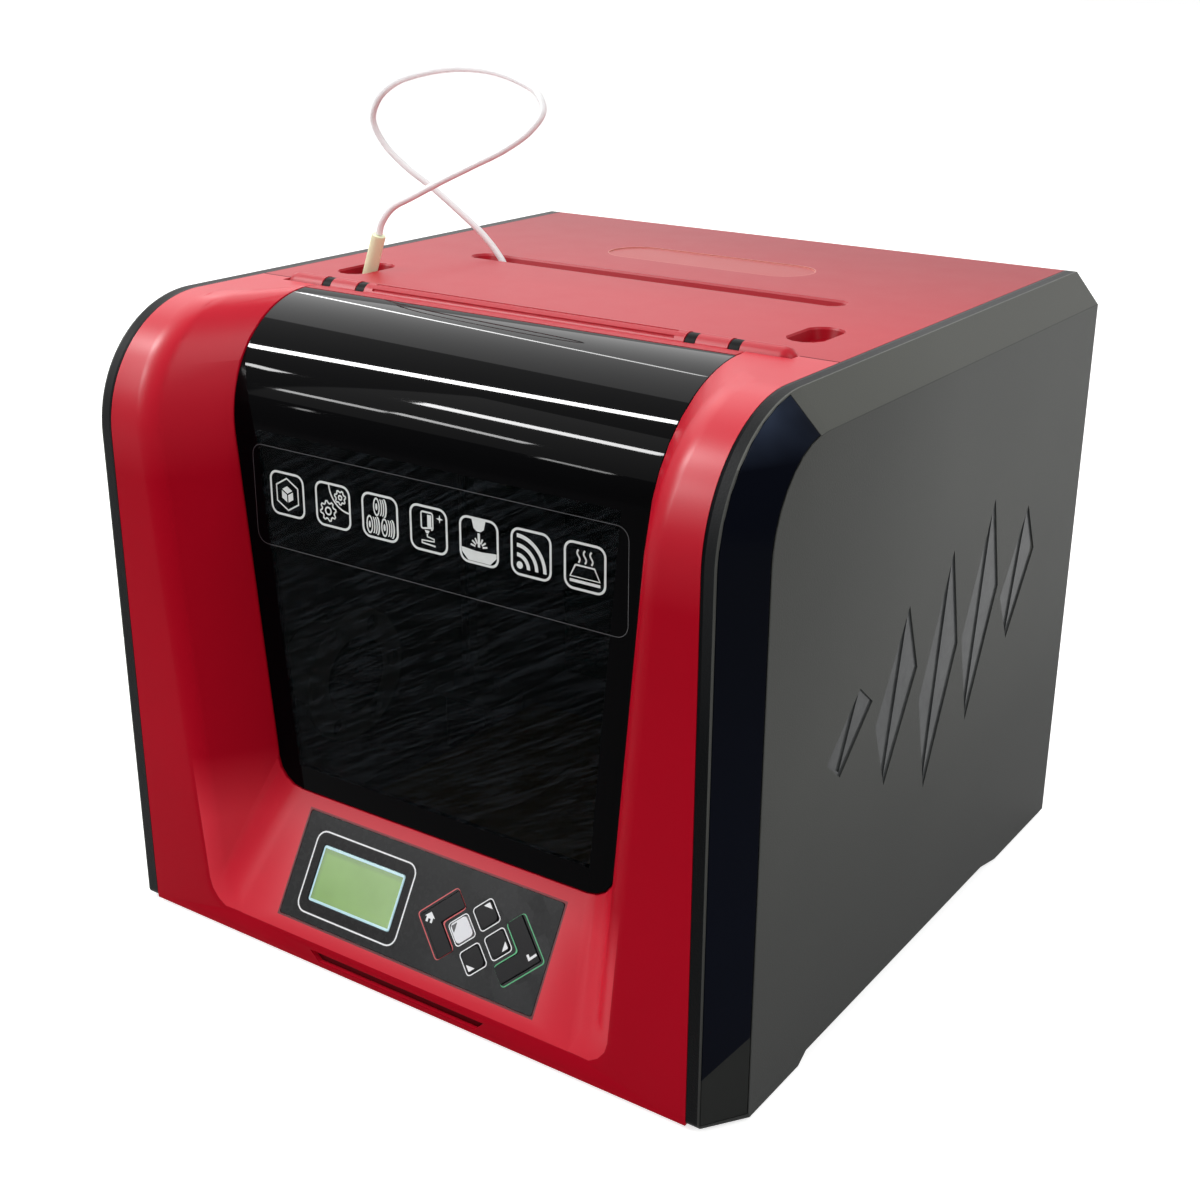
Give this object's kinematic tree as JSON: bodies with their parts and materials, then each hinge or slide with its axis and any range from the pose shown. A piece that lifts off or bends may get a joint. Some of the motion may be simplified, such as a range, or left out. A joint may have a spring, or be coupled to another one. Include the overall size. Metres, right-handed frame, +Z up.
{
  "type": "desktop 3d printer",
  "caption": "Enclosed desktop filament printer with a lifting smoked door, moving bed, lifting gantry, sloping key panel and looped guide tube",
  "frame": {"origin": "middle of the machine's footprint, at the surface its feet stand on, the guide tube left out", "axes": "+X across the machine to the right seen from its front, +Y to its rear, +Z up"},
  "size_m": [0.42, 0.415, 0.4764],
  "materials": {
    "red_plastic": "satin moulded plastic, glossier on the top",
    "dark_panel": "fine-grained matt moulded plastic",
    "gloss_trim": "high gloss",
    "smoked_glass": "smoked, glossy",
    "black_plastic": "satin",
    "overlay": "satin film",
    "display": "lit behind a clear cover",
    "chassis_metal": "satin",
    "rubber": "matt",
    "motor": "satin black",
    "steel": "ground and polished",
    "aluminium": "machined",
    "brass": "machined",
    "bed_tape": "matt film",
    "tan_plastic": "satin",
    "white_tube": "satin",
    "grey_plastic": "satin",
    "circuit_board": "satin"
  },
  "bodies": {
    "machine": {"front_shell": "red_plastic", "top_cover": "red_plastic", "side_panel_right": "dark_panel", "side_panel_left": "dark_panel", "side_trim_right": "gloss_trim", "side_trim_left": "gloss_trim", "chassis": "chassis_metal", "rear_cover": "black_plastic", "foot_front_right": "rubber", "foot_front_left": "rubber", "foot_rear_right": "rubber", "foot_rear_left": "rubber", "hinge_pin_right": "black_plastic", "hinge_pin_left": "black_plastic", "control_overlay": "overlay", "display_module": "display", "z_motor_right": "motor", "z_motor_left": "motor", "z_rod_right": "steel", "z_rod_left": "steel", "y_rod_right": "steel", "y_rod_left": "steel", "y_motor": "motor", "y_belt": "rubber", "spool_bracket": "black_plastic", "feeder_housing": "black_plastic", "tube_fitting": "tan_plastic", "guide_tube": "white_tube", "power_supply": "chassis_metal", "main_board": "circuit_board", "power_inlet": "black_plastic"},
    "door": {"door_window": "smoked_glass", "door_top_rail": "red_plastic"},
    "gantry": {"x_end_right": "black_plastic", "x_end_left": "black_plastic", "x_rod_upper": "steel", "x_rod_lower": "steel", "x_motor": "motor", "x_belt": "rubber"},
    "head": {"x_carriage": "black_plastic", "head_housing": "black_plastic", "nozzle": "brass", "head_tube": "white_tube"},
    "cross_pulley": {"x_pulley": "aluminium"},
    "fan_rotor": {"head_fan": "black_plastic"},
    "lift_screw_right": {"z_screw_right": "steel"},
    "lift_screw_left": {"z_screw_left": "steel"},
    "bed": {"bed_carriage": "aluminium", "heated_bed": "aluminium", "print_surface": "bed_tape"},
    "bed_pulley": {"y_pulley": "aluminium"},
    "spool": {"spool_hub": "grey_plastic"},
    "rocker": {"power_rocker": "black_plastic"},
    "key_home_cap": {"key_home": "overlay"},
    "key_left_cap": {"key_left": "overlay"},
    "key_up_cap": {"key_up": "overlay"},
    "key_right_cap": {"key_right": "overlay"},
    "key_down_cap": {"key_down": "overlay"},
    "key_enter_cap": {"key_enter": "overlay"}
  },
  "joints": [
    {"name": "door_hinge", "type": "hinge", "parent": "machine", "child": "door", "pos_m": [0, -0.0865, 0.3575], "axis": [-1, 0, 0], "range_deg": [0, 100]},
    {"name": "gantry_lift", "type": "slide", "parent": "machine", "child": "gantry", "axis": [0, 0, 1], "range_m": [-0.149, 0]},
    {"name": "head_travel", "type": "slide", "parent": "gantry", "child": "head", "axis": [1, 0, 0], "range_m": [0, 0.208]},
    {"name": "cross_pulley_spin", "type": "hinge", "parent": "gantry", "child": "cross_pulley", "pos_m": [-0.158, 0.0905, 0.2645], "axis": [0, 1, 0], "continuous": true},
    {"name": "fan_spin", "type": "hinge", "parent": "head", "child": "fan_rotor", "pos_m": [-0.104, 0.0215, 0.2725], "axis": [0, 1, 0], "continuous": true},
    {"name": "lift_screw_right_spin", "type": "hinge", "parent": "machine", "child": "lift_screw_right", "pos_m": [0.153, 0.0665, 0.2025], "axis": [0, 0, 1], "continuous": true},
    {"name": "lift_screw_left_spin", "type": "hinge", "parent": "machine", "child": "lift_screw_left", "pos_m": [-0.153, 0.0665, 0.2025], "axis": [0, 0, 1], "continuous": true},
    {"name": "bed_travel", "type": "slide", "parent": "machine", "child": "bed", "axis": [0, 1, 0], "range_m": [-0.01, 0.15]},
    {"name": "bed_pulley_spin", "type": "hinge", "parent": "machine", "child": "bed_pulley", "pos_m": [0, 0.1795, 0.0295], "axis": [1, 0, 0], "continuous": true},
    {"name": "spool_spin", "type": "hinge", "parent": "machine", "child": "spool", "pos_m": [-0.15, -0.0785, 0.1145], "axis": [1, 0, 0], "continuous": true},
    {"name": "power_switch", "type": "hinge", "parent": "machine", "child": "rocker", "pos_m": [0.117, 0.2005, 0.0985], "axis": [1, 0, 0], "range_deg": [0, 14]},
    {"name": "key_home_press", "type": "slide", "parent": "machine", "child": "key_home_cap", "axis": [0, 0.8619, -0.507], "range_m": [0, 0.0008], "stiffness_N_per_m": 300, "springref_m": -0.002},
    {"name": "key_left_press", "type": "slide", "parent": "machine", "child": "key_left_cap", "axis": [0, 0.8619, -0.507], "range_m": [0, 0.0008], "stiffness_N_per_m": 300, "springref_m": -0.002},
    {"name": "key_up_press", "type": "slide", "parent": "machine", "child": "key_up_cap", "axis": [0, 0.8619, -0.507], "range_m": [0, 0.0008], "stiffness_N_per_m": 300, "springref_m": -0.002},
    {"name": "key_right_press", "type": "slide", "parent": "machine", "child": "key_right_cap", "axis": [0, 0.8619, -0.507], "range_m": [0, 0.0008], "stiffness_N_per_m": 300, "springref_m": -0.002},
    {"name": "key_down_press", "type": "slide", "parent": "machine", "child": "key_down_cap", "axis": [0, 0.8619, -0.507], "range_m": [0, 0.0008], "stiffness_N_per_m": 300, "springref_m": -0.002},
    {"name": "key_enter_press", "type": "slide", "parent": "machine", "child": "key_enter_cap", "axis": [0, 0.8619, -0.507], "range_m": [0, 0.0008], "stiffness_N_per_m": 300, "springref_m": -0.002}
  ],
  "couplings": [
    {"joint": "cross_pulley_spin", "follows": "head_travel", "rad_per_m": -141.8},
    {"joint": "bed_pulley_spin", "follows": "bed_travel", "rad_per_m": -141.8},
    {"joint": "lift_screw_right_spin", "follows": "gantry_lift", "rad_per_m": 785.4},
    {"joint": "lift_screw_left_spin", "follows": "gantry_lift", "rad_per_m": 785.4}
  ]
}
